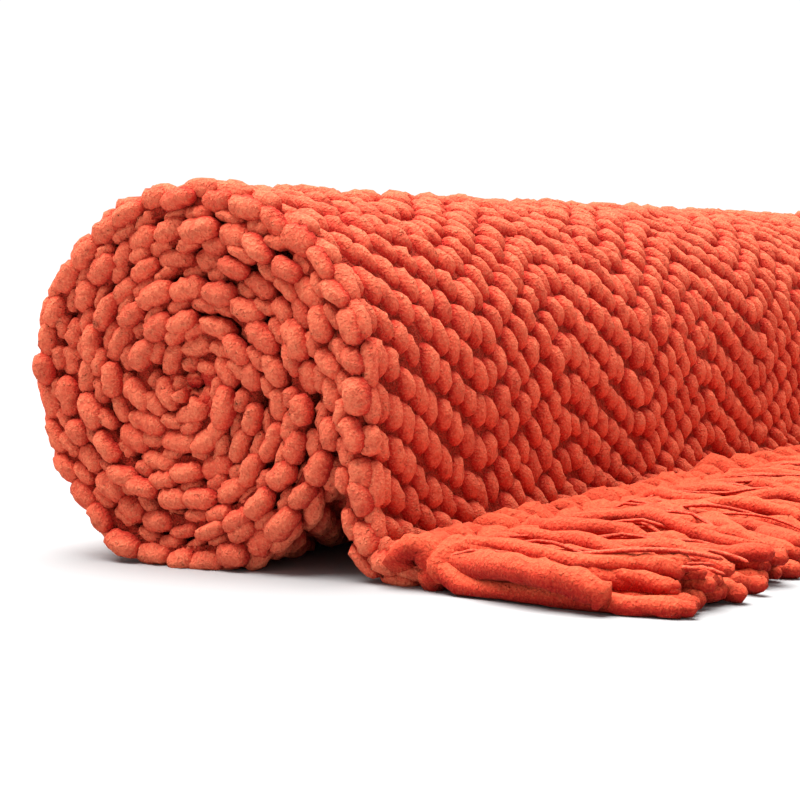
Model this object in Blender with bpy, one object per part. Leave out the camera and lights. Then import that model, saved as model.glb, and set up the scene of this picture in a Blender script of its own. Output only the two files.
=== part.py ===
"""A chunky chenille throw, rolled up and lying on its side, with its loose fringed end on the floor.

Metres, +Z up. The roll's axis runs along X. The cloth is drawn flat first: u runs across its width,
v along its length from the end in the core, and w through its thickness. It is then wound onto the
section curve, a spiral that ends in the loose end, which hangs in front of the roll, towards -Y.
"""

import math

import bmesh
import bpy
import numpy as np

# The cloth
WIDTH = 1.27
THICK = 0.0104
LAYER_GAP = 0.0008
COLUMNS = 132
COLUMN = WIDTH / COLUMNS
BORDER_COLUMNS = 2
BAND_COLUMNS = 8
BANDS = 16
BORDER = BORDER_COLUMNS * COLUMN
BAND = BAND_COLUMNS * COLUMN
RIB = 0.0155
RIB_SLOPE = 0.54
CREST = 0.0012
VALLEY = -0.0022
RIM_BULGE = 0.0025
UNEVEN_END = 0.0015
UNEVEN_WAVE = 0.19

# The roll, as the line through the middle of the cloth's thickness
PITCH = THICK + LAYER_GAP
CORE_RADIUS = 0.006
CORE_ROW_GAP = 0.004
LEAVE_RADIUS = 0.0712
LEAVE_ANGLE = math.radians(20)
BACK_TO_BOTTOM = 1.5 * math.pi - LEAVE_ANGLE
STEPS_PER_TURN = 30
FLAT_SINK = 0.0012
FLAT_PLAIN = 0.015
FLAT_FADE = 0.032

# The loose end, from where it leaves the roll to its edge on the floor
LEAVE_PULL = 0.035
LAND_OUT = 0.090
LAND_PULL = 0.029
EDGE_OUT = 0.098
RIBS_START = 0.025
RIBS_FULL = 0.075

# The fringe
EDGE_GAP = 0.0003
STRIP_DEEP = 0.005
STRIP_HIGH = 0.0095
TASSELS = 42
STRANDS_PER_TASSEL = 4
STRAND_SHARE = 0.82
STRAND_LONG = 0.105
STRAND_SHORT = 0.074
RAGGED_STEP = 2.4
SWAY = 0.014
SWAY_HALF_WAVES = 7
SWAY_POWER = 1.5

# Each row: share of the strand's length, its width and its height there, as shares of the root's
STRAND_SHAPE = (
    ("along", "wide", "high"),
    (0.18, 1.00, 1.20),
    (0.60, 0.95, 0.80),
    (1.00, 0.60, 0.50),
)

CLOTH_COLOUR = (0.62, 0.085, 0.035, 1.0)
FRINGE_COLOUR = (0.72, 0.115, 0.045, 1.0)
ROUGHNESS = 0.95
MERGE = 1e-6


def smooth_step(value, low, high):
    share = min(max((value - low) / (high - low), 0.0), 1.0)
    return share * share * (3 - 2 * share)


def winding_radius(back):
    """The radius this angle back along the winding from where the loose end leaves."""
    return LEAVE_RADIUS - PITCH * back / (2 * math.pi)


def winding_angle():
    return (LEAVE_RADIUS - CORE_RADIUS) / PITCH * 2 * math.pi


def axis_height():
    return winding_radius(BACK_TO_BOTTOM) + THICK / 2 - FLAT_SINK


def spiral_points():
    """The winding as (out, up) points a degree apart, from the core to where the loose end leaves."""
    back = np.linspace(winding_angle(), 0, int(math.degrees(winding_angle())))
    angle = LEAVE_ANGLE + back
    radius = winding_radius(back)
    return np.stack([radius * np.cos(angle), axis_height() + radius * np.sin(angle)], axis=1)


def loose_points(start):
    """The loose end as (out, up) points: a Bezier curve down to the floor, then straight to its edge."""
    leaving = np.array([math.sin(LEAVE_ANGLE), -math.cos(LEAVE_ANGLE)])
    land = np.array([LAND_OUT, THICK / 2])
    first_handle = start + LEAVE_PULL * leaving
    second_handle = land - np.array([LAND_PULL, 0])
    t = np.linspace(0, 1, 120)[1:, None]
    curve = (
        (1 - t) ** 3 * start
        + 3 * (1 - t) ** 2 * t * first_handle
        + 3 * (1 - t) * t**2 * second_handle
        + t**3 * land
    )
    return np.vstack([curve, [[EDGE_OUT, THICK / 2]]])


class Section:
    """The section curve of the cloth, read by the length v along it."""

    def __init__(self):
        spiral = spiral_points()
        self.points = np.vstack([spiral, loose_points(spiral[-1])])
        step = np.linalg.norm(np.diff(self.points, axis=0), axis=1)
        self.length_at = np.concatenate([[0], np.cumsum(step)])
        self.wound = self.length_at[: len(spiral)]
        self.end = self.length_at[-1]
        self.tangent = np.gradient(self.points, self.length_at, axis=0)
        self.last_turn = self.length_back(2 * math.pi)
        self.bottom = self.length_back(BACK_TO_BOTTOM)

    def length_back(self, back):
        """The length v at this angle back along the winding from where the loose end leaves."""
        angles = np.linspace(-winding_angle(), 0, len(self.wound))
        return np.interp(-np.asarray(back), angles, self.wound)

    def place(self, u, v, w):
        """The point of the wound cloth for a point of the flat cloth."""
        out, up, along_out, along_up = (
            np.interp(v, self.length_at, column)
            for column in (*self.points.T, *self.tangent.T)
        )
        size = math.hypot(along_out, along_up)
        out -= w * along_up / size
        up += w * along_out / size
        uneven = UNEVEN_END * math.sin(v / UNEVEN_WAVE * 2 * math.pi)
        x = (u - WIDTH / 2) * (1 - 2 * uneven / WIDTH)
        return x, -out, up

    def plain_rows(self):
        """Lengths v of the hidden turns' rows, at even angles so that the layers' faces lie parallel."""
        back = np.arange(2 * math.pi, winding_angle(), 2 * math.pi / STEPS_PER_TURN)
        rows = self.length_back(back[::-1])
        return [0.0, *rows[rows > CORE_ROW_GAP]]


def chevron(u):
    """How far the ribs are shifted along v at this place across the cloth: up one band, down the next."""
    share = (min(max(u, BORDER), WIDTH - BORDER) - BORDER) / BAND
    fold = abs((share + 1) % 2 - 1)
    return RIB_SLOPE * BAND * fold


def across_lines():
    """Places across the cloth where its rib lines have points: the borders and each half band."""
    inner = [BORDER + BAND * step / 2 for step in range(2 * BANDS + 1)]
    return [0.0, *inner, WIDTH]


def rib_height(section, row, v):
    """How far the outer face stands from the plain one: crests and valleys take turns."""
    level = CREST if row % 2 else VALLEY
    exposed = smooth_step(v, section.last_turn + RIBS_START, section.last_turn + RIBS_FULL)
    pressed = 1 - smooth_step(abs(v - section.bottom), FLAT_PLAIN, FLAT_FADE)
    return level * exposed * (1 - pressed)


def outer_rows(mesh, section, plain, ribbed):
    """The outer face's points: two for each plain row, then a whole line for each ribbed one."""
    edges = [[mesh.verts.new((u, v, THICK / 2)) for u in (0, WIDTH)] for v in plain[:-1]]
    lines = []
    for row, v in enumerate([plain[-1], *ribbed]):
        shifted = smooth_step(v, section.last_turn, section.last_turn + RIBS_FULL)
        level = THICK / 2 + rib_height(section, row, v)
        lines.append([mesh.verts.new((u, v + shifted * chevron(u), level)) for u in across_lines()])
    return edges, lines


def add_outer_face(mesh, edges, lines):
    """Long faces over the hidden turns, a fan to the first ribbed line, and the ribbed grid after it."""
    for lower, upper in zip(edges[:-1], edges[1:]):
        mesh.faces.new((lower[0], lower[1], upper[1], upper[0]))
    low_left, low_right = edges[-1]
    for left, right in zip(lines[0][:-1], lines[0][1:]):
        mesh.faces.new((low_left, right, left))
    mesh.faces.new((low_left, low_right, lines[0][-1]))
    for lower, upper in zip(lines[:-1], lines[1:]):
        for i in range(len(lower) - 1):
            mesh.faces.new((lower[i], lower[i + 1], upper[i + 1], upper[i]))


def cut_and_close(mesh, faces, point, normal):
    """Cuts away what these faces have beyond a plane and closes the cut with one flat face."""
    edges = {edge for face in faces for edge in face.edges}
    points = {vertex for face in faces for vertex in face.verts}
    cut = bmesh.ops.bisect_plane(
        mesh,
        geom=[*points, *edges, *faces],
        dist=MERGE,
        plane_co=point,
        plane_no=normal,
        clear_outer=True,
    )
    rim = [edge for edge in cut["geom_cut"] if isinstance(edge, bmesh.types.BMEdge)]
    bmesh.ops.contextual_create(mesh, geom=rim)


def flat_cloth(section):
    """The whole cloth laid flat and closed, with its chevron ribs, cut straight at its fringed end."""
    mesh = bmesh.new()
    plain = section.plain_rows()
    ribbed = list(np.arange(plain[-1] + RIB / 2, section.end + RIB, RIB / 2))
    rows = [*plain, *ribbed]
    edges, lines = outer_rows(mesh, section, plain, ribbed)
    top = [*edges, *([line[0], line[-1]] for line in lines)]
    middle = [[mesh.verts.new((u, v, 0)) for u in (-RIM_BULGE, WIDTH + RIM_BULGE)] for v in rows]
    under = [[mesh.verts.new((u, v, -THICK / 2)) for u in (0, WIDTH)] for v in rows]

    add_outer_face(mesh, edges, lines)
    for lower, upper in zip(under[:-1], under[1:]):
        mesh.faces.new((lower[0], upper[0], upper[1], lower[1]))
    for side in (0, 1):
        for high, low in ((top, middle), (middle, under)):
            for k in range(len(rows) - 1):
                mesh.faces.new((high[k][side], high[k + 1][side], low[k + 1][side], low[k][side]))
    mesh.faces.new((top[0][0], middle[0][0], under[0][0], under[0][1], middle[0][1], top[0][1]))
    mesh.faces.new((under[-1][0], middle[-1][0], *lines[-1], middle[-1][1], under[-1][1]))
    cut_and_close(mesh, list(mesh.faces), (0, section.end, 0), (0, 1, 0))
    return mesh


def finished_object(name, mesh, colour):
    """Closes a bmesh into an object with its own material, faces pointing out."""
    bmesh.ops.triangulate(mesh, faces=mesh.faces)
    bmesh.ops.recalc_face_normals(mesh, faces=mesh.faces)
    data = bpy.data.meshes.new(name)
    mesh.to_mesh(data)
    mesh.free()
    thing = bpy.data.objects.new(name, data)
    bpy.context.scene.collection.objects.link(thing)
    material = bpy.data.materials.new(name)
    material.use_nodes = True
    shader = material.node_tree.nodes["Principled BSDF"]
    shader.inputs["Base Color"].default_value = colour
    shader.inputs["Roughness"].default_value = ROUGHNESS
    data.materials.append(material)
    return thing


def press_flat(mesh):
    """Cuts the flat spot that the roll's own weight presses into its underside."""
    sunk = [face for face in mesh.faces if min(point.co.z for point in face.verts) < -MERGE]
    cut_and_close(mesh, sunk, (0, 0, 0), (0, 0, -1))


def throw_cloth(section):
    mesh = flat_cloth(section)
    for vertex in mesh.verts:
        vertex.co = section.place(*vertex.co)
    press_flat(mesh)
    return finished_object("throw_cloth", mesh, CLOTH_COLOUR)


def strand_sizes(middle, strand):
    """One strand's length, ragged from one to the next, and its sideways reach."""
    ragged = 0.5 + 0.5 * math.sin(RAGGED_STEP * strand)
    across = (middle + WIDTH / 2) / WIDTH
    sway = -SWAY * math.cos(SWAY_HALF_WAVES * math.pi * across)
    return STRAND_SHORT + (STRAND_LONG - STRAND_SHORT) * ragged, sway


def ring_points(mesh, middle, half_width, y, height):
    """Four points round a section of the fringe, in the upright plane at y, standing on the floor."""
    corners = ((-1, 0), (1, 0), (1, 1), (-1, 1))
    return [mesh.verts.new((middle + side * half_width, y, up * height)) for side, up in corners]


def join_rings(mesh, first, second):
    for i in range(4):
        j = (i + 1) % 4
        mesh.faces.new((first[i], first[j], second[j], second[i]))


def add_strand(mesh, root, middle, half_width, strand):
    """A four-sided strand that grows out of its root on the strip and rests level on the floor."""
    length, sway = strand_sizes(middle, strand)
    ring = root
    for along, wide, high in STRAND_SHAPE[1:]:
        x = middle + sway * along**SWAY_POWER
        y = root[0].co.y - length * along
        following = ring_points(mesh, x, half_width * wide, y, high * STRIP_HIGH)
        join_rings(mesh, ring, following)
        ring = following
    mesh.faces.new(ring)


def fringe(section):
    """The knotted header strip along the cloth's edge, with the strands that grow out of it."""
    mesh = bmesh.new()
    back_y = -section.points[-1][0] - EDGE_GAP
    front_y = back_y - STRIP_DEEP
    strands = TASSELS * STRANDS_PER_TASSEL
    cell = WIDTH / strands
    half_width = cell * STRAND_SHARE / 2
    middles = [-WIDTH / 2 + (strand + 0.5) * cell for strand in range(strands)]
    roots = [ring_points(mesh, middle, half_width, front_y, STRIP_HIGH) for middle in middles]
    back = ring_points(mesh, 0, WIDTH / 2, back_y, STRIP_HIGH)
    front = ring_points(mesh, 0, WIDTH / 2, front_y, STRIP_HIGH)
    bottom = [front[0], *(point for root in roots for point in root[:2]), front[1]]
    top = [front[3], *(point for root in roots for point in (root[3], root[2])), front[2]]

    mesh.faces.new(back)
    mesh.faces.new((back[0], *bottom, back[1]))
    mesh.faces.new((back[3], *top, back[2]))
    mesh.faces.new((back[0], front[0], front[3], back[3]))
    mesh.faces.new((back[1], front[1], front[2], back[2]))
    for i in range(0, len(bottom), 2):
        mesh.faces.new((bottom[i], bottom[i + 1], top[i + 1], top[i]))
    for strand, root in enumerate(roots):
        add_strand(mesh, root, middles[strand], half_width, strand)
    return finished_object("fringe", mesh, FRINGE_COLOUR)


def stand_on_origin(things):
    """Moves the pieces' points along the floor so that the origin is at the middle of their box."""
    points = np.array([vertex.co for thing in things for vertex in thing.data.vertices])
    middle = (points.min(axis=0) + points.max(axis=0)) / 2
    for thing in things:
        for vertex in thing.data.vertices:
            vertex.co.x -= middle[0]
            vertex.co.y -= middle[1]


def build():
    for thing in list(bpy.data.objects):
        bpy.data.objects.remove(thing, do_unlink=True)
    section = Section()
    stand_on_origin([throw_cloth(section), fringe(section)])


build()
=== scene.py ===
"""The rolled chenille throw, dressed: each float of its knit, the ends of its turns, and its fringe.

Lengths are metres. The knit is drawn on the flat cloth first, with u across its width, v along its
length from the end in the core and w through its thickness, positive on the face that shows. It is
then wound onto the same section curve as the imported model: a spiral that ends in the loose end.
"""

import math

import bpy
import numpy as np
from mathutils import Matrix, Vector


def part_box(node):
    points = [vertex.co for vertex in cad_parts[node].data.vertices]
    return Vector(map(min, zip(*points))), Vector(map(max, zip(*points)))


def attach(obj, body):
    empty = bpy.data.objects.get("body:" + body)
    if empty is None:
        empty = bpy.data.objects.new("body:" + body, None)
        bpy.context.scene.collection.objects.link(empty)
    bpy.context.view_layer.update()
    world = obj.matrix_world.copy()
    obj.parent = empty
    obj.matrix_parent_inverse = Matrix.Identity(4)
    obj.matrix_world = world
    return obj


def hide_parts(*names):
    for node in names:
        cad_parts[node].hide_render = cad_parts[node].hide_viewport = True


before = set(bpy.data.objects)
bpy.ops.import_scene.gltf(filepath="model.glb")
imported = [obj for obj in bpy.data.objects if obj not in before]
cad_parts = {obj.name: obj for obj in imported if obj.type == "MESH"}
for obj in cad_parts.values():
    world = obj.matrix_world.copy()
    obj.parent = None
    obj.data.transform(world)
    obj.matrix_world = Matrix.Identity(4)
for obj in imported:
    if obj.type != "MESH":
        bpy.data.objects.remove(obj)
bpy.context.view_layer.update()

# The cloth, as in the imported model
WIDTH = 1.27
THICK = 0.0104
COLUMNS = 132
COLUMN = WIDTH / COLUMNS
BORDER_COLUMNS = 2
BAND_COLUMNS = 8
BORDER = BORDER_COLUMNS * COLUMN
BAND = BAND_COLUMNS * COLUMN
RIB = 0.0155
RIB_SLOPE = 0.54
UNEVEN_END = 0.0015
UNEVEN_WAVE = 0.19

# The roll and its loose end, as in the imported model
PITCH = THICK + 0.0008
CORE_RADIUS = 0.006
LEAVE_RADIUS = 0.0712
LEAVE_ANGLE = math.radians(20)
BACK_TO_BOTTOM = 1.5 * math.pi - LEAVE_ANGLE
FLAT_SINK = 0.0012
LEAVE_PULL = 0.035
LAND_OUT = 0.090
LAND_PULL = 0.029
LOOSE_STEPS = 120
EDGE_OUT = 0.098
EDGE_GAP = 0.0003
RIBS_FULL = 0.075

# The ground of the cloth: the thin knitted sheet that the floats stand on
GROUND_TOP = 0.0026
GROUND_UNDER = -THICK / 2 + 0.0012
GROUND_INSET = 0.0030
GROUND_COLUMNS = 20
# The ground's painted light, fixed and low: painted shade down in the knit under the floats
GROUND_PAINTED_LIGHT = 0.4
ROLL_ROWS = 260
LOOSE_ROWS = 40

# The ends of a body of yarn: the fullness it loses there, then how late and how bluntly it rounds off
FLOAT_ENDS = (0.95, 2.7, 0.48)
SAUSAGE_ENDS = (0.96, 3.2, 0.45)
CORE_YARN_ENDS = (0.93, 5.0, 0.5)

# How lumpy a body of yarn is, in slow waves and from point to point, as shares of its radius
FLOAT_LUMPS = (0.025, 0.060)
SAUSAGE_LUMPS = (0.035, 0.080)
TUBE_LUMPS = (0.08, 0.12)

# The slow waves: their share, how many go round the body, and how fast they turn along it
LUMP_WAVES = ((1.0, 2, 2.6), (0.8, 3, -3.4))

# The knit's floats: plump half sausages of yarn
FLOAT_HALF_LENGTH = 0.0074
FLOAT_HALF_WIDTH = 0.0046
FLOAT_BASE = 0.0010
FLOAT_TOP = THICK / 2 + 0.0021
FLOAT_LEAN = 0.0015
FLOAT_ARC = math.radians(104)
FINE_RINGS = (-1.0, -0.92, -0.70, -0.36, 0.0, 0.36, 0.70, 0.92, 1.0)
FINE_SIDES = 10
COARSE_RINGS = (-1.0, -0.7, 0.0, 0.7, 1.0)
COARSE_SIDES = 5
KNIT_PARTS = 4
ROWS_BEFORE = 4
EDGE_RIBS = 0.75
HIDDEN_LENGTH = 0.115
HIDDEN_INSET_COLUMNS = 16

# How much the floats differ, as shares of their sizes
LONG_SPREAD = 0.07
WIDE_SPREAD = 0.08
HIGH_SPREAD = 0.09
LEAN_SPREAD = 0.6

# How far the floats and their points are off their places
U_SPREAD = 0.0005
V_SPREAD = 0.0008
POINT_SPREAD = 0.0002

# How far the rows drift, and in what waves: share, radians a metre across and along, and start
DRIFT_U = 0.0006
DRIFT_V = 0.0009
DRIFT_W = 0.0004
DRIFTS_ALONG = ((0.6, 31, 17, 0.0), (0.4, 73, -41, 1.3))
DRIFTS_ACROSS = ((0.6, 23, -29, 0.7), (0.4, 59, 67, 2.1))

# Whole sausages of yarn, closed all round, for the selvages and the header
SAUSAGE_RINGS = np.array((-1.0, -0.94, -0.80, -0.57, -0.29, 0.0, 0.29, 0.57, 0.80, 0.94, 1.0))
SAUSAGE_SIDES = 12

# The rows of floats along a selvage: where each starts, its floats' spacing and phase, how far their
# middles lie in from the selvage and above the middle of the cloth, and their half sizes
SELVAGE_ROWS = (
    ("from_last_turn", "step", "phase", "u", "w", "long", "wide", "deep"),
    (False, 0.0126, 0.0, 0.0034, 0.0016, 0.0067, 0.0054, 0.0043),
    (False, 0.0126, 0.5, 0.0050, -0.0038, 0.0060, 0.0050, 0.0032),
    (True, 0.0140, 0.5, 0.0070, 0.0047, 0.0072, 0.0041, 0.0036),
)
SELVAGE_START = 0.004
SELVAGE_STEP_SPREAD = 0.09
SELVAGE_SIZE_SPREAD = 0.10
SELVAGE_TURN = 0.10
SELVAGE_TURN_SPREAD = 0.16
SELVAGE_U_SPREAD = 0.0012
SELVAGE_W_SPREAD = 0.0006
# Painted light on the selvage floats: painted shade on their sides, painted highlight where they face
# outwards
SELVAGE_PAINTED_LIGHT = 0.35

# Tubes of yarn: how their girths differ, how many rings a slow lump takes, and how their painted light is
# read from height, painted highlight on their upper sides and painted shade on their lower ones
GIRTH_SPREAD = 0.12
LUMP_RINGS = 4
MIDDLE_PAINTED_LIGHT = 0.50
PAINTED_LIGHT_REACH = 0.55

# The yarn ends in the core's hole
CORE_YARNS = 10
CORE_YARN_RADIUS = 0.0033
CORE_YARN_RINGS = 9
CORE_YARN_SIDES = 9
CORE_YARN_SWEEP = (1.0, 2.4)
CORE_YARN_NEAREST = 0.0015
CORE_YARN_SPAN = 0.0085
CORE_YARN_DRIFT = 0.001
CORE_YARN_DEPTH = (0.003, 0.008)
CORE_YARN_BOW = 0.012

# The cast-off edge: two rows of sausages, the outer one and the one on the cloth's face
HEADER_STEP = 0.0118
HEADER_INSET = 0.006
HEADER_STAGGER = 0.4
HEADER_OUT = 0.001
HEADER_INNER_OUT = -0.0085
HEADER_ZIGZAG = 0.0012
HEADER_HIGH = 0.0064
HEADER_INNER_HIGH = 0.0108
HEADER_HIGH_SPREAD = 0.0006
HEADER_SIZE_SPREAD = 0.08
HEADER_HALF_LENGTH = 0.0080
HEADER_HALF_WIDTH = 0.0046
HEADER_HALF_HEIGHT = 0.0050
HEADER_SLANT = 0.20
# The header's painted light, fixed and high: mostly painted highlight
HEADER_PAINTED_LIGHT = 0.8

# A tassel's knot: two wraps over the header, and a bight arched over the strands' feet
TASSELS = 42
TASSEL_INSET = 0.0045
KNOT_RADIUS = 0.0051
KNOT_RINGS = 12
KNOT_SIDES = 10
KNOT_SPREAD = 0.0005
KNOT_END = 0.5
WRAP_FROM = math.radians(200)
WRAP_TO = math.radians(-70)
WRAP_BESIDE = 0.0056
WRAP_BOW = 0.0008
WRAP_REACH = 0.0070
WRAP_FLATTER = 0.0004
WRAP_OUT = 0.001
WRAP_HIGH = 0.0082
BIGHT_ARC = math.radians(100)
BIGHT_HALF_WIDTH = 0.0086
BIGHT_OUT = 0.0120
BIGHT_BOW = 0.0015
BIGHT_FOOT = 0.0052
BIGHT_RISE = 0.0084

# The layers of strands from the floor up, and the fine threads: how many a tassel has, their lengths,
# the heights they rest at, how far they stray sideways, and how far past the selvages they may splay
STRAND_LONG = 0.115
STRAND_SHORT = 0.078
STRAND_LAYERS = (
    ("per_tassel", "lengths", "rests", "stray", "splay"),
    (4, (0.104, STRAND_LONG), (0.0031, 0.0042), 0.005, 0.0145),
    (4, (0.092, STRAND_LONG), (0.0080, 0.0112), 0.007, 0.0050),
    (4, (STRAND_SHORT, 0.111), (0.0128, 0.0176), 0.009, 0.0010),
)
THREAD_LAYER = (6, (STRAND_SHORT, STRAND_LONG), (0.0135, 0.0185), 0.009, 0.0)
STRAND_RADIUS = 0.0032
STRAND_RINGS = 18
STRAND_SIDES = 8
THREAD_RADIUS = 0.0008
THREAD_RINGS = 16
THREAD_SIDES = 5
THREAD_WANDER = 0.0012
THREAD_HALF_WAVES = (2, 5)

# A strand's tip: how its rings crowd there, the share of the strand it takes, and its end's fullness
TIP_CROWDING = 1.5
TIP_SHARE = 0.035
TIP_END = 0.2

# How a strand leaves its knot, sways with its neighbours and curls, seen from above
FOOT_SHARE = 0.42
FOOT_OUT = 0.004
SPREAD_POWER = 4.2
SWAY = 0.014
SWAY_HALF_WAVES = 7
CURL_HALF_WAVES = 2.4
CURL_FULL_AT = 0.4
TASSEL_CURL = 0.0045
TASSEL_PHASE = 0.8
STRAND_CURL = 0.80
STRAND_PHASE = 0.5
CALM_WIDTH = 0.03
CALM_SHARE = 0.2

# How high a strand lies: at its knot, heaped at its tip, and in low waves between
FOOT_HIGH = 0.0105
FOOT_FALL = (0.02, 0.20)
TIP_FALL = (0.50, 1.0)
TASSEL_HEAPED = (0.45, 1.0)
STRAND_HEAPED = (0.8, 1.2)
WAVE_HIGH = 0.0020
WAVE_FULL_AT = 0.6
WAVE_HALF_WAVES = (2.0, 4.5)

# The thick strand at each corner
CORNER_RADIUS = 0.0055
CORNER_RINGS = 20
CORNER_SIDES = 12
CORNER_INSET = 0.004
CORNER_SPLAY = 0.0235
CORNER_SPLAY_POWER = 2.2
CORNER_RISE = 0.0122
CORNER_FALL_POWER = 6
CORNER_FOOT_SHARE = 0.65
CORNER_FULL_AT = 0.4
CORNER_START = 0.013
CORNER_REACH = 0.0825

# The look of the yarn: sizes and depths of what its pile shows, and its finish
FIBRE_SIZE = 0.0010
FIBRE_DETAIL = 3.0
FIBRE_DEPTH = 0.0006
TUFT_SIZE = 0.0030
TUFT_DEPTH = 0.0012
PATCH_SIZE = 0.045
NOISE_ROUGHNESS = 0.6
CRUMB_ASPECT = 1.3
CRUMB_DRIFT = 0.9
CRUMB_SMOOTHNESS = 0.35
CRUMB_GAP_AT = 0.70
CRUMB_TOP_AT = 0.05
YARN_ROUGHNESS = 0.95
YARN_SPECULAR = 0.10
YARN_SHEEN = 0.14
SHEEN_ROUGHNESS = 0.6
SHEEN_TINT = (1.0, 0.28, 0.13, 1.0)

# The floor, and the camera: how far it stands past the roll's near end and in front of its back
FLOOR_REACH = 12.0
FLOOR_COLOUR = (0.37, 0.37, 0.37, 1.0)
FLOOR_ROUGHNESS = 0.9
HORIZON_BAND = (0.13, 0.20)
CAMERA_PAST = 0.633
CAMERA_FRONT = 0.5276
CAMERA_HIGH = 0.116
CAMERA_YAW = math.radians(29.7)
CAMERA_PITCH = math.radians(3.9)
CAMERA_SENSOR = 36
CAMERA_LENS = 94.5
CAMERA_NEAREST = 0.01


def smooth_step(value, low, high):
    share = np.clip((value - low) / (high - low), 0.0, 1.0)
    return share * share * (3 - 2 * share)


class Section:
    """The section curve of the cloth, read by the length v along it."""

    def __init__(self):
        self.axis_up = self.radius(BACK_TO_BOTTOM) + THICK / 2 - FLAT_SINK
        spiral, self.angles = self.spiral_points()
        self.points = np.vstack([spiral, self.loose_points(spiral[-1])])
        step = np.linalg.norm(np.diff(self.points, axis=0), axis=1)
        self.length_at = np.concatenate([[0], np.cumsum(step)])
        self.end = self.length_at[-1]
        self.leave = self.length_at[len(spiral) - 1]
        self.tangent = np.gradient(self.points, self.length_at, axis=0)
        self.last_turn = self.length_back(2 * math.pi)
        self.middle_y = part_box("fringe")[1][1] + EDGE_OUT + EDGE_GAP

    @staticmethod
    def radius(back):
        """The radius this angle back along the winding from where the loose end leaves."""
        return LEAVE_RADIUS - PITCH * back / (2 * math.pi)

    def spiral_points(self):
        """The winding as (out, up) points a degree apart from the core on, and their angles back."""
        turned = (LEAVE_RADIUS - CORE_RADIUS) / PITCH * 2 * math.pi
        back = np.linspace(turned, 0, int(math.degrees(turned)))
        out = self.radius(back) * np.cos(LEAVE_ANGLE + back)
        up = self.axis_up + self.radius(back) * np.sin(LEAVE_ANGLE + back)
        return np.stack([out, up], axis=1), back

    @staticmethod
    def loose_points(start):
        """The loose end: a Bezier curve down to the floor, then straight to its edge."""
        leaving = np.array([math.sin(LEAVE_ANGLE), -math.cos(LEAVE_ANGLE)])
        land = np.array([LAND_OUT, THICK / 2])
        first_handle = start + LEAVE_PULL * leaving
        second_handle = land - np.array([LAND_PULL, 0])
        t = np.linspace(0, 1, LOOSE_STEPS)[1:, None]
        curve = (
            (1 - t) ** 3 * start
            + 3 * (1 - t) ** 2 * t * first_handle
            + 3 * (1 - t) * t**2 * second_handle
            + t**3 * land
        )
        return np.vstack([curve, [[EDGE_OUT, THICK / 2]]])

    def length_back(self, back):
        """The length v at this angle back along the winding from where the loose end leaves."""
        return float(np.interp(-back, -self.angles, self.length_at[: len(self.angles)]))

    def place(self, u, v, w):
        """The points of the wound cloth for points of the flat cloth, kept above the floor."""
        out, up, along_out, along_up = (
            np.interp(v, self.length_at, column)
            for column in (*self.points.T, *self.tangent.T)
        )
        size = np.hypot(along_out, along_up)
        out = out - w * along_up / size
        up = up + w * along_out / size
        uneven = UNEVEN_END * np.sin(v / UNEVEN_WAVE * 2 * math.pi)
        x = (u - WIDTH / 2) * (1 - 2 * uneven / WIDTH)
        return np.stack(np.broadcast_arrays(x, self.middle_y - out, np.maximum(up, 0.0)), axis=-1)


section = Section()


def chevron(u):
    """How far the ribs are shifted along v at this place across the cloth: up one band, down the next."""
    share = (np.clip(u, BORDER, WIDTH - BORDER) - BORDER) / BAND
    return RIB_SLOPE * BAND * np.abs((share + 1) % 2 - 1)


def grid_faces(count, rings, sides, closed):
    """Quads of count separate grids, each of rings by sides points, closed round the sides or open."""
    ring, side = np.meshgrid(np.arange(rings - 1), np.arange(sides if closed else sides - 1), indexing="ij")
    following = (side + 1) % sides
    here = ring * sides
    beyond = here + sides
    quads = np.stack([here + side, here + following, beyond + following, beyond + side], axis=-1)
    starts = np.arange(count) * rings * sides
    return (starts[:, None, None] + quads.reshape(-1, 4)[None]).reshape(-1, 4)


def capped_faces(count, rings, sides, flipped=False):
    """The quads of closed tubes, and one many-sided face to close each end."""
    faces = grid_faces(count, rings, sides, closed=True).tolist()
    for start in range(0, count * rings * sides, rings * sides):
        faces.append([start + side for side in reversed(range(sides))])
        last = start + (rings - 1) * sides
        faces.append([last + side for side in range(sides)])
    return [face[::-1] for face in faces] if flipped else faces


def finished_piece(name, points, faces, material, attributes):
    """One shaded mesh object that rides on the root, with point attributes for its material."""
    mesh = bpy.data.meshes.new(name)
    mesh.from_pydata(points.reshape(-1, 3).tolist(), [], faces)
    mesh.shade_smooth()
    for label, values in attributes.items():
        vector = values.ndim == points.ndim
        layer = mesh.attributes.new(label, "FLOAT_VECTOR" if vector else "FLOAT", "POINT")
        flat = np.ascontiguousarray(values, dtype=np.float32).ravel()
        layer.data.foreach_set("vector" if vector else "value", flat)
    mesh.materials.append(material)
    piece = bpy.data.objects.new(name, mesh)
    bpy.context.scene.collection.objects.link(piece)
    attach(piece, "root")
    return piece


def looks(rng, painted_light, along, wide, high):
    """The point attributes that yarn_material reads, for bodies of shape (count, rings, sides)."""
    start = rng.uniform(0, 1, (4, len(painted_light), 1, 1))
    yarn = [part + shift for part, shift in zip((along, wide, high), start)]
    yarn = np.stack([np.broadcast_to(part, painted_light.shape) for part in yarn], axis=-1)
    return {"painted_light": painted_light, "tone": np.broadcast_to(start[3], painted_light.shape), "yarn": yarn}


# Materials


def linked(tree, kind, **inputs):
    """A node of this kind whose inputs are set to a value or linked to another node's output."""
    node = tree.nodes.new(kind)
    for label, value in inputs.items():
        socket = node.inputs[label.replace("_", " ")]
        if isinstance(value, bpy.types.NodeSocket):
            tree.links.new(value, socket)
        else:
            socket.default_value = value
    return node


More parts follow.
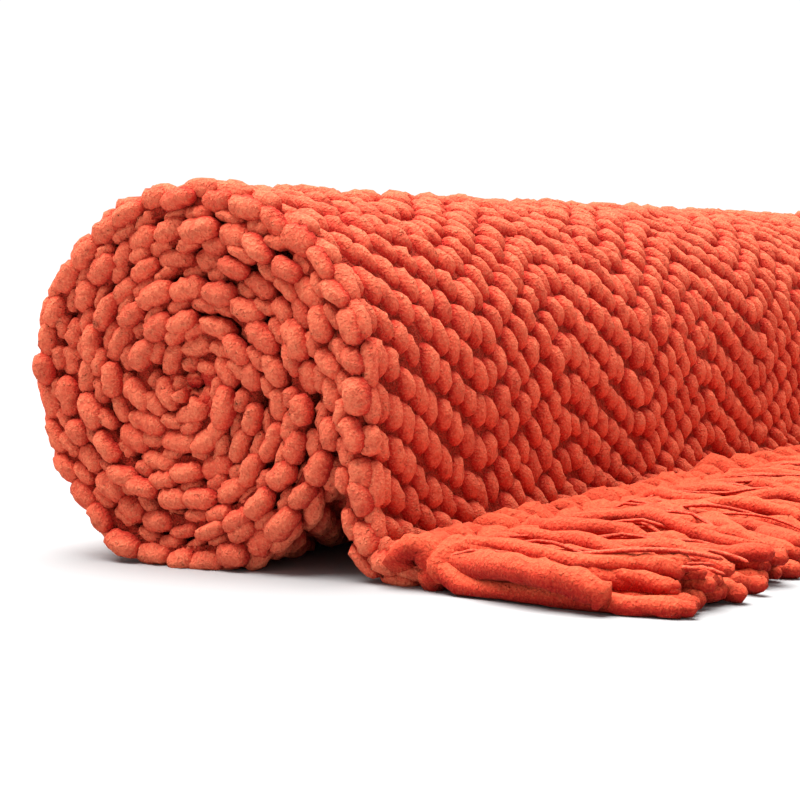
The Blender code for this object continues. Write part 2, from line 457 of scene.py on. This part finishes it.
def mixed(tree, share, first, second):
    """The first colour with a share of the second mixed in."""
    node = tree.nodes.new("ShaderNodeMix")
    node.data_type = "RGBA"
    node.clamp_factor = True
    for socket, value in ((node.inputs[0], share), (node.inputs[6], first), (node.inputs[7], second)):
        if isinstance(value, bpy.types.NodeSocket):
            tree.links.new(value, socket)
        else:
            socket.default_value = value
    return node.outputs[2]


def ranged(tree, value, from_low, from_high, to_low=0.0, to_high=1.0, curve="LINEAR"):
    node = tree.nodes.new("ShaderNodeMapRange")
    node.interpolation_type = curve
    tree.links.new(value, node.inputs["Value"])
    for label, number in (
        ("From Min", from_low),
        ("From Max", from_high),
        ("To Min", to_low),
        ("To Max", to_high),
    ):
        node.inputs[label].default_value = number
    return node.outputs["Result"]


def stored(tree, label):
    node = tree.nodes.new("ShaderNodeAttribute")
    node.attribute_name = label
    return node


def noise(tree, place, size, detail=2.0):
    """Noise whose lumps are about this size in metres, from 0 to 1."""
    node = linked(
        tree, "ShaderNodeTexNoise", Vector=place, Scale=1 / size, Detail=detail, Roughness=NOISE_ROUGHNESS
    )
    return node.outputs["Fac"]


def bumped(tree, height, depth, under=None):
    """The normal of a surface that this height raises by up to this depth, over another bump or none."""
    node = linked(tree, "ShaderNodeBump", Height=height, Strength=1.0, Distance=depth)
    if under is not None:
        tree.links.new(under, node.inputs["Normal"])
    return node.outputs["Normal"]


def crumb_height(tree, long, wide):
    """Crumbs of pile on the yarn, rounded on top, with narrow gaps between them: from 0 to 1."""
    scaled = tree.nodes.new("ShaderNodeVectorMath")
    scaled.operation = "MULTIPLY"
    scaled.inputs[1].default_value = (1 / long, 1 / wide, 1 / wide)
    tree.links.new(stored(tree, "yarn").outputs["Vector"], scaled.inputs[0])
    drift = linked(tree, "ShaderNodeTexNoise", Vector=scaled.outputs[0], Scale=CRUMB_DRIFT, Detail=1.0)
    bent = tree.nodes.new("ShaderNodeVectorMath")
    bent.operation = "ADD"
    tree.links.new(scaled.outputs[0], bent.inputs[0])
    tree.links.new(drift.outputs["Color"], bent.inputs[1])
    cells = tree.nodes.new("ShaderNodeTexVoronoi")
    cells.feature = "SMOOTH_F1"
    cells.inputs["Smoothness"].default_value = CRUMB_SMOOTHNESS
    cells.inputs["Scale"].default_value = 1.0
    tree.links.new(bent.outputs[0], cells.inputs["Vector"])
    return ranged(tree, cells.outputs["Distance"], CRUMB_GAP_AT, CRUMB_TOP_AT, curve="SMOOTHSTEP")


def yarn_material(name, deep, body, painted_highlight, crumb, crumb_depth):
    """Chenille: pile in crumbs, painted deep red shade down in the knit and between crumbs, painted orange
    highlight on top.
    """
    material = bpy.data.materials.new(name)
    material.use_nodes = True
    tree = material.node_tree
    shader = tree.nodes["Principled BSDF"]
    place = tree.nodes.new("ShaderNodeTexCoord").outputs["Object"]

    # How lit each point is painted, from 0 to 1: low for painted shade in hollows and on undersides, high
    # for painted highlight on tops
    painted_light = stored(tree, "painted_light").outputs["Fac"]
    tone = stored(tree, "tone").outputs["Fac"]
    crumbs = crumb_height(tree, crumb, CRUMB_ASPECT * crumb)
    fibres = noise(tree, place, FIBRE_SIZE, FIBRE_DETAIL)
    tufts = noise(tree, place, TUFT_SIZE)
    patches = noise(tree, place, PATCH_SIZE)
    # Painted highlight for the tops of crumbs and fibres: the body's colour where the painted light is low,
    # the bright colour where it is high
    painted_tip_highlight = mixed(tree, ranged(tree, painted_light, 0.15, 0.80), body, painted_highlight)

    # What is mixed over the body's colour in turn: what it reads, where there it starts and is full,
    # its share when full, and its colour
    layers = (
        ("reads", "none_at", "full_at", "share", "colour"),
        # painted highlight on raised places
        (painted_light, 0.50, 1.05, 0.50, painted_highlight),
        # painted shade in the gaps between crumbs
        (crumbs, 0.40, 0.0, 0.04, deep),
        # painted highlight on the crumbs' tops
        (crumbs, 0.45, 1.0, 0.38, painted_tip_highlight),
        # painted highlight on the fibres' raised places
        (fibres, 0.48, 0.72, 0.50, painted_tip_highlight),
        # painted shade where the fibres sink
        (fibres, 0.48, 0.28, 0.20, deep),
        # painted shade where the tufts sink
        (tufts, 0.48, 0.25, 0.40, deep),
        (tone, 0.40, 0.0, 0.22, deep),
        (patches, 0.35, 0.70, 0.12, deep),
    )
    # Painted shade: deep red where the painted light is low, down in the knit, and the body's colour where
    # it is high
    colour = mixed(tree, ranged(tree, painted_light, 0.10, 0.75), deep, body)
    for reads, none_at, full_at, share, other in layers[1:]:
        colour = mixed(tree, ranged(tree, reads, none_at, full_at, 0.0, share), colour, other)
    tree.links.new(colour, shader.inputs["Base Color"])

    normal = bumped(tree, tufts, TUFT_DEPTH)
    normal = bumped(tree, crumbs, crumb_depth, normal)
    normal = bumped(tree, fibres, FIBRE_DEPTH, normal)
    tree.links.new(normal, shader.inputs["Normal"])

    shader.inputs["Roughness"].default_value = YARN_ROUGHNESS
    shader.inputs["Specular IOR Level"].default_value = YARN_SPECULAR
    shader.inputs["Sheen Weight"].default_value = YARN_SHEEN
    shader.inputs["Sheen Roughness"].default_value = SHEEN_ROUGHNESS
    shader.inputs["Sheen Tint"].default_value = SHEEN_TINT
    return material


# In each yarn material, the deep colour is painted shade and the bright colour painted highlight; the body
# colour is the yarn's own.
PILE = yarn_material(
    "chenille_pile",
    deep=(0.34, 0.0015, 0.006, 1.0),
    body=(0.74, 0.051, 0.028, 1.0),
    painted_highlight=(0.97, 0.300, 0.148, 1.0),
    crumb=0.0012,
    crumb_depth=0.0003,
)
# The ground's colours are darker than the pile's: painted shade of the furrows it lies in
GROUND = yarn_material(
    "chenille_ground",
    deep=(0.24, 0.003, 0.004, 1.0),
    body=(0.50, 0.040, 0.018, 1.0),
    painted_highlight=(0.68, 0.120, 0.055, 1.0),
    crumb=0.0012,
    crumb_depth=0.0010,
)
# The strands' colours are darker than the pile's: partly their own deeper red, partly painted shade of the
# roll over the fringe
STRAND = yarn_material(
    "chenille_strand",
    deep=(0.30, 0.0015, 0.005, 1.0),
    body=(0.65, 0.046, 0.021, 1.0),
    painted_highlight=(0.86, 0.172, 0.074, 1.0),
    crumb=0.0012,
    crumb_depth=0.0003,
)
THREAD = yarn_material(
    "fringe_thread",
    deep=(0.30, 0.003, 0.005, 1.0),
    body=(0.72, 0.055, 0.027, 1.0),
    painted_highlight=(0.94, 0.230, 0.120, 1.0),
    crumb=0.0008,
    crumb_depth=0.0002,
)


# The ground of the cloth


def ground_sheet(name, from_v, to_v, rows):
    """A thin closed sheet along part of the section, a little narrower than the floats reach."""
    v = np.linspace(from_v, to_v, rows)
    u = np.linspace(GROUND_INSET, WIDTH - GROUND_INSET, GROUND_COLUMNS + 1)
    around_u = np.concatenate([u, u[::-1]])
    around_w = np.concatenate([np.full(len(u), GROUND_TOP), np.full(len(u), GROUND_UNDER)])
    sides = len(around_u)
    points = section.place(around_u[None, :], v[:, None], around_w[None, :])[None]
    faces = grid_faces(1, rows, sides, closed=True)[:, ::-1].tolist()
    for start, turn in ((0, -1), ((rows - 1) * sides, 1)):
        for i in range(GROUND_COLUMNS):
            corners = [start + i, start + sides - 1 - i, start + sides - 2 - i, start + i + 1]
            faces.append(corners[::turn])
    # Painted light held fixed and low: painted shade over the whole ground
    painted_light = np.full(points.shape[:3], GROUND_PAINTED_LIGHT)
    attributes = looks(
        np.random.default_rng(3), painted_light, v[None, :, None], around_u[None, None, :], around_w[None, None, :]
    )
    return finished_piece(name, points, faces, GROUND, attributes)


# Bodies of yarn


def fullness(share, loss, power, root):
    """How full a body of yarn is at a share of its half length: 1 in its middle, little at its ends."""
    return (1 - loss * np.abs(share) ** power) ** root


def lumpiness(rng, count, ring, angle, smooth, rough):
    """How much fuller or thinner each body is from place to place, as factors near 1."""
    phases = rng.uniform(0, 2 * math.pi, (len(LUMP_WAVES), count, 1, 1))
    slow = sum(
        share * np.sin(around * angle + along * ring + phase)
        for (share, around, along), phase in zip(LUMP_WAVES, phases)
    )
    return 1 + smooth * slow + rng.normal(0, rough, (count, ring.shape[1], angle.shape[2]))


def sausages(rng, count, half_length, half_wide, half_high, turn=0.0):
    """Closed sausages as offsets (along, wide, high) from their middles, turned from along to high."""
    ring = SAUSAGE_RINGS[None, :, None]
    angle = np.linspace(0, 2 * math.pi, SAUSAGE_SIDES, endpoint=False)[None, None, :]
    full = fullness(ring, *SAUSAGE_ENDS) * lumpiness(rng, count, ring, angle, *SAUSAGE_LUMPS)

    def each(value):
        return np.broadcast_to(np.asarray(value, dtype=float), (count,))[:, None, None]

    along = each(half_length) * ring + rng.normal(0, POINT_SPREAD, full.shape)
    wide = each(half_wide) * full * np.cos(angle)
    high = each(half_high) * full * np.sin(angle)
    cosine, sine = np.cos(each(turn)), np.sin(each(turn))
    along, high = along * cosine - high * sine, along * sine + high * cosine
    return along, wide, high


def tube_points(paths, radii, sides, across):
    """Points of tubes round paths of shape (count, rings, 3), with radii of shape (count, rings, sides).

    The direction across is one that no path runs along."""
    along = np.gradient(paths, axis=1)
    along /= np.linalg.norm(along, axis=-1, keepdims=True)
    level = np.cross(along, across)
    level /= np.linalg.norm(level, axis=-1, keepdims=True)
    other = np.cross(along, level)
    angle = np.linspace(0, 2 * math.pi, sides, endpoint=False)
    ring = level[:, :, None, :] * np.cos(angle)[:, None] + other[:, :, None, :] * np.sin(angle)[:, None]
    return paths[:, :, None, :] + ring * radii[..., None]


def tube_piece(name, rng, paths, radius, full, sides, material, across=(0.0, 0.0, 1.0)):
    """Closed yarn tubes along paths, as thick as radius times full along each path."""
    count, rings = paths.shape[:2]
    ring = np.linspace(-1, 1, rings)[None, :, None] * rings / LUMP_RINGS
    angle = np.linspace(0, 2 * math.pi, sides, endpoint=False)[None, None, :]
    girth = radius * full[None, :, None] * (1 + rng.normal(0, GIRTH_SPREAD, count))[:, None, None]
    uneven = lumpiness(rng, count, ring, angle, *TUBE_LUMPS)
    points = tube_points(paths, girth * uneven, sides, np.asarray(across))
    # Painted light from height round the path: painted highlight on the upper side, painted shade on the
    # lower
    above = (points[..., 2] - paths[:, :, None, 2]) / radius
    painted_light = np.clip(MIDDLE_PAINTED_LIGHT + PAINTED_LIGHT_REACH * above, 0, 1)
    points[..., 2] = np.maximum(points[..., 2], 0.0)
    step = np.linalg.norm(np.diff(paths, axis=1), axis=-1)
    along = np.concatenate([np.zeros((count, 1)), np.cumsum(step, axis=1)], axis=1)[:, :, None]
    attributes = looks(rng, painted_light, along, radius * np.cos(angle), radius * np.sin(angle))
    return finished_piece(name, points, capped_faces(count, rings, sides), material, attributes)


# The knit


def knit_places(first_column, last_column):
    """The floats' middles on the flat cloth, a row along each rib, for these columns."""
    rows = int((section.end - section.last_turn) / RIB) + 2
    column, row = np.meshgrid(
        np.arange(first_column, last_column), np.arange(-ROWS_BEFORE, rows), indexing="ij"
    )
    u = (column + 0.5) * COLUMN
    plain_v = section.last_turn + RIB * (row + 0.5)
    v = plain_v + smooth_step(plain_v, section.last_turn, section.last_turn + RIBS_FULL) * chevron(u)
    keep = (v > section.last_turn - RIB) & (v < section.end - EDGE_RIBS * RIB)
    return u[keep], v[keep]


def drift(waves, u, v):
    """A slow drift of the rows, as a hand-knit cloth has, from about -1 to 1."""
    return sum(share * np.sin(per_u * u + per_v * v + start) for share, per_u, per_v, start in waves)


def float_piece(name, rng, u, v, rings, sides, face=1):
    """Raised floats with these middles, on the outer face of the cloth or, with face -1, the inner."""
    count = len(u)
    ring = np.array(rings)[None, :, None]
    angle = np.linspace(-FLOAT_ARC, FLOAT_ARC, sides)[None, None, :]

    def each(spread):
        return rng.normal(0, spread, count)[:, None, None]

    along = drift(DRIFTS_ALONG, u, v)[:, None, None]
    across = drift(DRIFTS_ACROSS, u, v)[:, None, None]
    long = FLOAT_HALF_LENGTH * (1 + each(LONG_SPREAD))
    wide = FLOAT_HALF_WIDTH * (1 + each(WIDE_SPREAD))
    high = (FLOAT_TOP - FLOAT_BASE) * (1 + each(HIGH_SPREAD))
    full = fullness(ring, *FLOAT_ENDS) * lumpiness(rng, count, ring, angle, *FLOAT_LUMPS)
    lean = FLOAT_LEAN * (1 + each(LEAN_SPREAD))

    points_u = u[:, None, None] + each(U_SPREAD) + DRIFT_U * across
    points_u = points_u + lean * ring + wide * full * np.sin(angle)
    points_v = v[:, None, None] + each(V_SPREAD) + DRIFT_V * along + long * ring
    points_v = np.minimum(points_v + rng.normal(0, POINT_SPREAD, full.shape), section.end)
    rise = full * np.cos(angle)
    points_w = FLOAT_BASE + high * rise + DRIFT_W * across
    points = section.place(points_u, points_v, face * points_w)
    faces = grid_faces(count, len(rings), sides, closed=False)[:, ::-face].tolist()
    # Painted light from how high each point of a float rises: painted highlight on its crest, painted shade
    # at its sides
    attributes = looks(rng, np.clip(rise, 0, 1), long * ring, wide * np.sin(angle), high * np.cos(angle))
    return finished_piece(name, points, faces, PILE, attributes)


def near_ends(u, columns):
    """Which of these places lie within a number of columns of either selvage."""
    return np.minimum(u, WIDTH - u) < columns * COLUMN


def knit_piece(name, first_column, last_column, from_v, to_v, seed, hidden=False):
    """The floats of these columns between two lengths along the cloth: those that show, or the coarse
    ones hidden under the loose end."""
    u, v = knit_places(first_column, last_column)
    covered = (v < section.last_turn + HIDDEN_LENGTH) & ~near_ends(u, HIDDEN_INSET_COLUMNS)
    here = (v >= from_v) & (v < to_v) & (covered == hidden)
    rings, sides = (COARSE_RINGS, COARSE_SIDES) if hidden else (FINE_RINGS, FINE_SIDES)
    return float_piece(name, np.random.default_rng(seed), u[here], v[here], rings, sides)


def inner_piece(name, seed):
    """Coarse floats in plain rows on the loose end's inner face near its selvages, where it shows."""
    rows = np.arange(section.leave + RIB / 2, section.end - RIB / 4, RIB)
    places = np.meshgrid((np.arange(COLUMNS) + 0.5) * COLUMN, rows, indexing="ij")
    u, v = (axis.ravel() for axis in places)
    here = near_ends(u, HIDDEN_INSET_COLUMNS) & ~near_ends(u, 1)
    rng = np.random.default_rng(seed)
    return float_piece(name, rng, u[here], v[here], COARSE_RINGS, COARSE_SIDES, face=-1)


def selvage_piece(name, side, seed):
    """The floats along one selvage, which make the rings of bumps on the roll's end."""
    rng = np.random.default_rng(seed)
    points, painted_lights, yarns = [], [], []
    for exposed, step, phase, edge_u, level, long, wide, deep in SELVAGE_ROWS[1:]:
        start = section.last_turn if exposed else SELVAGE_START
        v = np.arange(start + step * phase, section.end, step)
        count = len(v)
        v = v + rng.normal(0, SELVAGE_STEP_SPREAD * step, count)
        size = 1 + rng.normal(0, SELVAGE_SIZE_SPREAD, (3, count))
        turn = rng.normal(SELVAGE_TURN, SELVAGE_TURN_SPREAD, count)
        along, across, out = sausages(rng, count, long * size[0], wide * size[1], deep * size[2], turn)
        u = edge_u + rng.normal(0, SELVAGE_U_SPREAD, count)[:, None, None] - across
        w = level + rng.normal(0, SELVAGE_W_SPREAD, count)[:, None, None] + out
        flat_v = np.clip(v[:, None, None] + along, 0, section.end)
        points.append(section.place(u if side < 0 else WIDTH - u, flat_v, w))
        # Painted light from how far each point faces outwards: painted highlight there, painted shade on
        # the sides
        facing = np.maximum(across / wide, out / deep if exposed else -1.0)
        painted_lights.append(np.clip(SELVAGE_PAINTED_LIGHT + (1 - SELVAGE_PAINTED_LIGHT) * facing, 0, 1))
        yarns.append(np.stack([along, across, out]))
    points = np.concatenate(points)
    faces = capped_faces(len(points), len(SAUSAGE_RINGS), SAUSAGE_SIDES, flipped=side < 0)
    attributes = looks(rng, np.concatenate(painted_lights), *np.concatenate(yarns, axis=1))
    return finished_piece(name, points, faces, PILE, attributes)


def core_yarns(name, end_x, inward, seed):
    """The yarn ends that fill the hole in the middle of one end of the roll, each a short bent tube."""
    rng = np.random.default_rng(seed)
    shape = (CORE_YARNS, 1)
    t = np.linspace(0, 1, CORE_YARN_RINGS)[None, :]
    turn = rng.uniform(0, 2 * math.pi, shape) + rng.uniform(*CORE_YARN_SWEEP, shape) * t
    reach = CORE_YARN_NEAREST + CORE_YARN_SPAN * np.sqrt(rng.uniform(0, 1, shape))
    reach = reach + rng.normal(0, CORE_YARN_DRIFT, shape) * t
    depth = rng.uniform(*CORE_YARN_DEPTH, shape) + CORE_YARN_BOW * (t - 0.5) ** 2
    y = section.middle_y - reach * np.cos(turn)
    z = section.axis_up + reach * np.sin(turn)
    x = np.broadcast_to(end_x + inward * depth, y.shape)
    paths = np.stack([x, y, z], axis=-1)
    full = fullness(2 * t[0] - 1, *CORE_YARN_ENDS)
    across = (1.0, 0.0, 0.0)
    return tube_piece(
        name, rng, paths, CORE_YARN_RADIUS, full, CORE_YARN_SIDES, PILE, across
    )


# The fringe


def header_lumps():
    """The cast-off edge: two rows of sausages along the cloth's edge, the inner one on its face."""
    rng = np.random.default_rng(47)
    in_row = int(WIDTH / HEADER_STEP)
    count = 2 * in_row
    number = np.arange(count) % in_row
    inner = np.arange(count) >= in_row
    step = (WIDTH - 2 * HEADER_INSET) / (in_row - 1 + HEADER_STAGGER)
    x = -WIDTH / 2 + HEADER_INSET + (number + HEADER_STAGGER * inner) * step
    out = np.where(inner, HEADER_INNER_OUT, HEADER_OUT) + HEADER_ZIGZAG * np.where(number % 2, 1, -1)
    y = section.middle_y - EDGE_OUT - out
    z = np.where(inner, HEADER_INNER_HIGH, HEADER_HIGH) + rng.normal(0, HEADER_HIGH_SPREAD, count)
    size = 1 + rng.normal(0, HEADER_SIZE_SPREAD, count)
    along, wide, high = sausages(
        rng, count, HEADER_HALF_LENGTH * size, HEADER_HALF_WIDTH * size, HEADER_HALF_HEIGHT * size
    )
    points = np.stack(
        [
            x[:, None, None] + along,
            y[:, None, None] + wide - HEADER_SLANT * along,
            np.maximum(z[:, None, None] + high, 0.0),
        ],
        axis=-1,
    )
    # Painted light held fixed and high over the header
    painted_light = np.full(points.shape[:3], HEADER_PAINTED_LIGHT)
    faces = capped_faces(count, len(SAUSAGE_RINGS), SAUSAGE_SIDES)
    attributes = looks(rng, painted_light, along, wide, high)
    return finished_piece("fringe_header", points, faces, PILE, attributes)


def tassel_middles():
    return np.linspace(TASSEL_INSET - WIDTH / 2, WIDTH / 2 - TASSEL_INSET, TASSELS)


def fringe_knots():
    """Each tassel's knot: two wraps over the header, and the bight arched over the strands' feet."""
    rng = np.random.default_rng(53)
    turn = np.linspace(WRAP_FROM, WRAP_TO, KNOT_RINGS)
    bend = np.linspace(-BIGHT_ARC, BIGHT_ARC, KNOT_RINGS)
    paths, across = [], []
    for middle in tassel_middles():
        for side in (-1, 1):
            reach = WRAP_REACH + rng.normal(0, KNOT_SPREAD)
            x = middle + side * (WRAP_BESIDE + WRAP_BOW * np.sin(turn))
            out = EDGE_OUT + WRAP_OUT + reach * np.cos(turn)
            z = WRAP_HIGH + (reach - WRAP_FLATTER) * np.sin(turn)
            paths.append(np.stack([x, section.middle_y - out, z], axis=-1))
            across.append([(1.0, 0.0, 0.0)])
        x = middle + BIGHT_HALF_WIDTH * np.sin(bend)
        out = EDGE_OUT + BIGHT_OUT + BIGHT_BOW * np.cos(bend)
        z = BIGHT_FOOT + (BIGHT_RISE + rng.normal(0, KNOT_SPREAD)) * np.cos(bend)
        paths.append(np.stack([x, section.middle_y - out, z], axis=-1))
        across.append([(0.0, 1.0, 0.0)])
    full = np.ones(KNOT_RINGS)
    full[[0, -1]] = KNOT_END
    paths = np.array(paths)
    return tube_piece(
        "fringe_knots", rng, paths, KNOT_RADIUS, full, KNOT_SIDES, STRAND, across
    )


def strand_shares(rings):
    """Shares along a strand, closer together at its tip, and its fullness there, rounded at the tip."""
    share = 1 - (1 - np.linspace(0, 1, rings)) ** TIP_CROWDING
    tip = np.clip(1 - (1 - share) / TIP_SHARE, 0, 1)
    return share, np.sqrt(1 - (1 - TIP_END**2) * tip**2)


def strand_paths(rng, rings, per_tassel, lengths, rests, stray, splay):
    """Paths of strands that fall out of their tassel's knot and lie on the floor, some over others."""
    count = TASSELS * per_tassel
    number = np.arange(count)
    cell = WIDTH / TASSELS
    middle = tassel_middles()[number // per_tassel]
    place = ((number % per_tassel + 0.5) / per_tassel - 0.5) * cell
    across = (middle + place + WIDTH / 2) / WIDTH
    sway = -SWAY * np.cos(SWAY_HALF_WAVES * math.pi * across) + rng.normal(0, stray, count)
    reach = np.clip(middle + place + sway, -WIDTH / 2 - splay, WIDTH / 2 + splay)

    t = strand_shares(rings)[0][None, :]
    start = (middle + FOOT_SHARE * place)[:, None]
    x = start + (reach[:, None] - start) * (1 - (1 - t) ** SPREAD_POWER)
    shared = rng.normal(0, (TASSEL_CURL, TASSEL_PHASE), (TASSELS, 2))
    shared = np.repeat(shared, per_tassel, axis=0)
    heaped = np.repeat(rng.uniform(*TASSEL_HEAPED, (TASSELS, 1)), per_tassel, axis=0)
    curl = shared[:, :1] + rng.normal(0, STRAND_CURL * stray, (count, 1))
    phase = shared[:, 1:] + rng.normal(0, STRAND_PHASE, (count, 1))
    curl = curl * np.clip((WIDTH / 2 - np.abs(start)) / CALM_WIDTH, CALM_SHARE, 1)
    bent = np.sin(CURL_HALF_WAVES * math.pi * t + phase) - np.sin(phase)
    x = x + curl * bent * smooth_step(t, 0.0, CURL_FULL_AT)
    length = rng.uniform(*lengths, (count, 1))
    out = EDGE_OUT + FOOT_OUT + (length - FOOT_OUT) * t

    rest = rng.uniform(*rests, (count, 1))
    heap = np.minimum(heaped * rng.uniform(*STRAND_HEAPED, (count, 1)), 1)
    tip = STRAND_RADIUS + heap * (rest - STRAND_RADIUS)
    z = rest + (tip - rest) * smooth_step(t, *TIP_FALL)
    z = z + (FOOT_HIGH - rest) * (1 - smooth_step(t, *FOOT_FALL))
    wave = rng.uniform(*WAVE_HALF_WAVES, (count, 1))
    lifted = smooth_step(t, 0, WAVE_FULL_AT) * (rest > 2 * STRAND_RADIUS)
    z = z + WAVE_HIGH * np.sin(wave * math.pi * t + 2 * phase) * lifted
    return np.stack([x, section.middle_y - out, z], axis=-1)


def fringe_strands():
    """Strands in three layers, from those flat on the floor to those that lie loose on top."""
    rng = np.random.default_rng(41)
    paths = np.concatenate([strand_paths(rng, STRAND_RINGS, *layer) for layer in STRAND_LAYERS[1:]])
    full = strand_shares(STRAND_RINGS)[1]
    return tube_piece(
        "fringe_strands", rng, paths, STRAND_RADIUS, full, STRAND_SIDES, STRAND
    )


def corner_strands():
    """The thick strand that leaves each corner's knot and lies over the others, splayed outwards."""
    rng = np.random.default_rng(59)
    share, full = strand_shares(CORNER_RINGS)
    paths = []
    for side in (-1, 1):
        x = side * (WIDTH / 2 - CORNER_INSET + CORNER_SPLAY * (1 - (1 - share) ** CORNER_SPLAY_POWER))
        y = section.middle_y - EDGE_OUT - CORNER_START - (CORNER_REACH - CORNER_START) * share
        from_foot = CORNER_FOOT_SHARE + (1 - CORNER_FOOT_SHARE) * smooth_step(share, 0.0, CORNER_FULL_AT)
        rise = (1 - share**CORNER_FALL_POWER) * from_foot
        z = CORNER_RADIUS + (CORNER_RISE - CORNER_RADIUS) * rise
        paths.append(np.stack([x, y, z], axis=-1))
    paths = np.array(paths)
    return tube_piece(
        "corner_strands", rng, paths, CORNER_RADIUS, full, CORNER_SIDES, STRAND
    )


def fringe_threads():
    """Fine threads that lie between the topmost strands, each on a wandering path of its own."""
    rng = np.random.default_rng(43)
    paths = strand_paths(rng, THREAD_RINGS, *THREAD_LAYER)
    share, full = strand_shares(THREAD_RINGS)
    waves = rng.uniform(*THREAD_HALF_WAVES, (len(paths), 1))
    wander = rng.normal(0, THREAD_WANDER, (len(paths), 1))
    paths[..., 0] += wander * np.sin(math.pi * share * waves)
    return tube_piece(
        "fringe_threads", rng, paths, THREAD_RADIUS, full, THREAD_SIDES, THREAD
    )


# The whole throw

roll_ground = ground_sheet("roll_ground", 0.0, section.leave, ROLL_ROWS)
loose_end = ground_sheet("loose_end", section.leave, section.end, LOOSE_ROWS)
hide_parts("throw_cloth")

part_columns = COLUMNS // KNIT_PARTS
for part in range(KNIT_PARTS):
    first = max(part * part_columns, 1)
    last = min((part + 1) * part_columns, COLUMNS - 1)
    knit_piece(f"roll_knit_{part + 1}", first, last, 0.0, section.leave, seed=11 + part)
knit_piece("roll_knit_hidden", 1, COLUMNS - 1, 0.0, section.leave, seed=19, hidden=True)
loose_knit = knit_piece("loose_end_knit", 1, COLUMNS - 1, section.leave, section.end, seed=21)
loose_back = inner_piece("loose_end_back", seed=23)
selvage_piece("near_selvage", -1, seed=31)
selvage_piece("far_selvage", 1, seed=37)
core_yarns("near_core", -WIDTH / 2, 1, seed=61)
core_yarns("far_core", WIDTH / 2, -1, seed=67)
header = header_lumps()
knot_piece = fringe_knots()
strands = fringe_strands()
corners = corner_strands()
threads = fringe_threads()
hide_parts("fringe")


# The floor, the light and the camera


def floor_material():
    material = bpy.data.materials.new("floor")
    material.use_nodes = True
    shader = material.node_tree.nodes["Principled BSDF"]
    shader.inputs["Base Color"].default_value = FLOOR_COLOUR
    shader.inputs["Roughness"].default_value = FLOOR_ROUGHNESS
    return material


def floor():
    mesh = bpy.data.meshes.new("floor")
    corners = [(FLOOR_REACH * x, FLOOR_REACH * y, 0) for x, y in ((-1, -1), (1, -1), (1, 1), (-1, 1))]
    mesh.from_pydata(corners, [], [(0, 1, 2, 3)])
    mesh.materials.append(floor_material())
    thing = bpy.data.objects.new("floor", mesh)
    bpy.context.scene.collection.objects.link(thing)


def soft_sun(name, towards, strength, spread):
    """Even light from one side of the sky, as soft as the angle it spreads over."""
    light = bpy.data.lights.new(name, "SUN")
    light.energy = strength
    light.angle = math.radians(spread)
    thing = bpy.data.objects.new(name, light)
    thing.rotation_euler = Vector(towards).to_track_quat("-Z", "Y").to_euler()
    bpy.context.scene.collection.objects.link(thing)


def studio_world(sky, horizon):
    """An even sky with a white band all round the horizon, behind the object."""
    world = bpy.data.worlds.new("studio")
    world.use_nodes = True
    tree = world.node_tree
    direction = tree.nodes.new("ShaderNodeTexCoord").outputs["Generated"]
    parts = tree.nodes.new("ShaderNodeSeparateXYZ")
    tree.links.new(direction, parts.inputs[0])
    height = tree.nodes.new("ShaderNodeMath")
    height.operation = "ABSOLUTE"
    tree.links.new(parts.outputs["Z"], height.inputs[0])
    strength = ranged(tree, height.outputs[0], *HORIZON_BAND, horizon, sky)
    tree.links.new(strength, tree.nodes["Background"].inputs["Strength"])
    tree.nodes["Background"].inputs["Color"].default_value = (1.0, 1.0, 1.0, 1.0)
    bpy.context.scene.world = world


def photo_camera():
    """A long lens near the roll's end, level with its upper half and turned across its length."""
    low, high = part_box("throw_cloth")
    place = Vector((low[0] - CAMERA_PAST, high[1] - CAMERA_FRONT, CAMERA_HIGH))
    level = math.cos(CAMERA_PITCH)
    forward = Vector((math.cos(CAMERA_YAW) * level, math.sin(CAMERA_YAW) * level, -math.sin(CAMERA_PITCH)))
    right = Vector((math.sin(CAMERA_YAW), -math.cos(CAMERA_YAW), 0))
    up = right.cross(forward)
    data = bpy.data.cameras.new("camera")
    data.sensor_width = CAMERA_SENSOR
    data.lens = CAMERA_LENS
    data.clip_start = CAMERA_NEAREST
    camera = bpy.data.objects.new("camera", data)
    camera.matrix_world = Matrix.Translation(place) @ Matrix((right, up, -forward)).transposed().to_4x4()
    bpy.context.scene.collection.objects.link(camera)
    bpy.context.scene.camera = camera


floor()
studio_world(sky=0.37, horizon=1.05)
soft_sun("overhead", towards=(0.0, -0.22, -1.0), strength=9.1, spread=60)
soft_sun("left", towards=(1.0, -0.10, -0.55), strength=0.06, spread=60)
photo_camera()
bpy.context.scene.view_settings.view_transform = "Standard"
